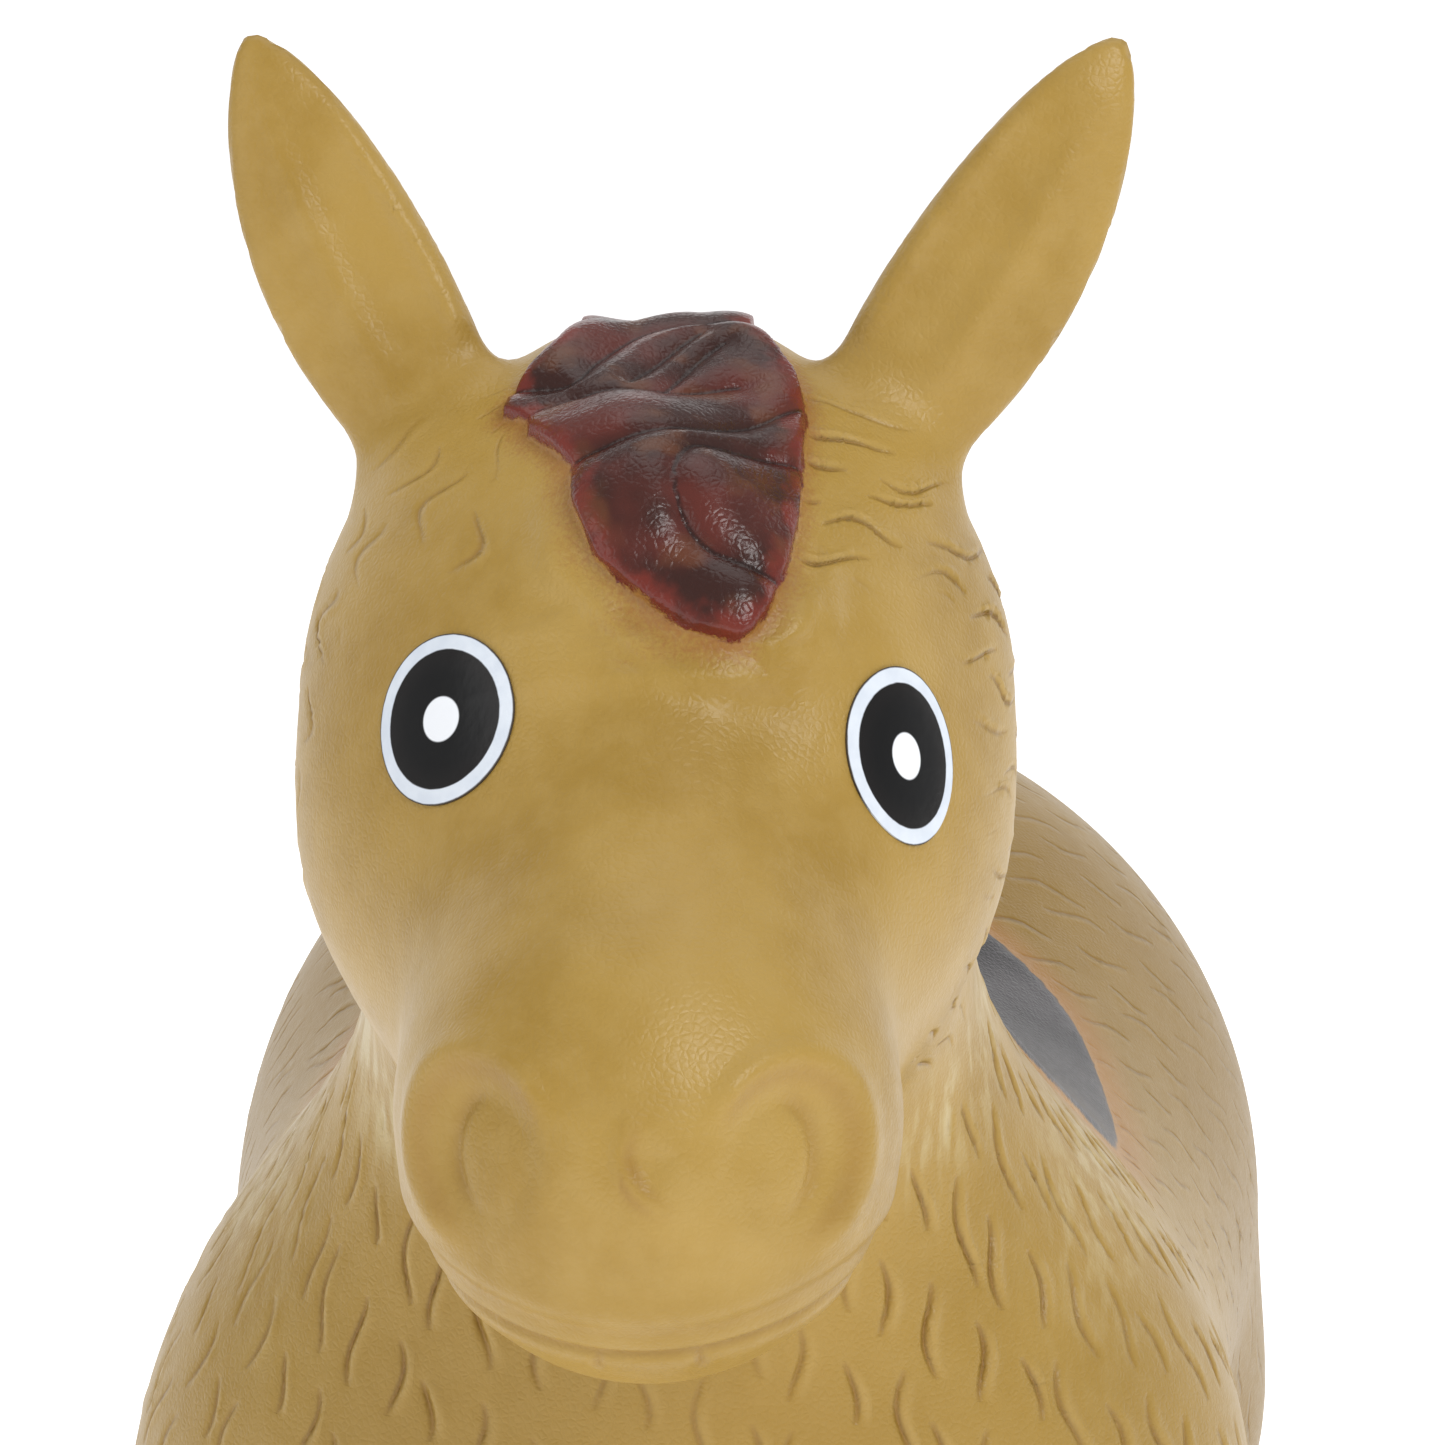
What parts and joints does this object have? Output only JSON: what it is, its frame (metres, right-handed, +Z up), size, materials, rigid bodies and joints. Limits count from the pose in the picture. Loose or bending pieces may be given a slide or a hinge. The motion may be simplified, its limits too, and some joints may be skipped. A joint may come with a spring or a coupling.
{
  "type": "inflatable ride-on hopping horse",
  "caption": "Air-filled ride-on hopping horse in moulded PVC, with soft ears to hold, printed eye stickers and a pull-out air stopper.",
  "frame": {"origin": "on the floor, under the middle of the horse's length and width", "axes": "+Z up, -Y the way the horse faces, +X its left side"},
  "size_m": [0.2766, 0.5882, 0.5204],
  "materials": {
    "skin_pvc": "satin soft PVC, tan, with brown and grey paint on the forelock and back",
    "eye_vinyl": "printed gloss vinyl",
    "stopper_plastic": "moulded satin polyethylene"
  },
  "bodies": {
    "horse": {"air_skin": "skin_pvc", "left_eye_sticker": "eye_vinyl", "right_eye_sticker": "eye_vinyl"},
    "left_ear_body": {"left_ear": "skin_pvc"},
    "right_ear_body": {"right_ear": "skin_pvc"},
    "stopper_body": {"air_stopper": "stopper_plastic"}
  },
  "joints": [
    {"name": "left_ear_flex", "type": "hinge", "parent": "horse", "child": "left_ear_body", "pos_m": [0.0463, -0.15407, 0.442], "axis": [0.8572, 0, -0.515], "range_deg": [-22, 30], "stiffness_Nm_per_rad": 0.8},
    {"name": "right_ear_flex", "type": "hinge", "parent": "horse", "child": "right_ear_body", "pos_m": [-0.0463, -0.15407, 0.442], "axis": [0.8988, 0, 0.4384], "range_deg": [-22, 30], "stiffness_Nm_per_rad": 0.8},
    {"name": "stopper_pull", "type": "slide", "parent": "horse", "child": "stopper_body", "axis": [0, 0.9703, -0.2419], "range_m": [0, 0.04]}
  ]
}
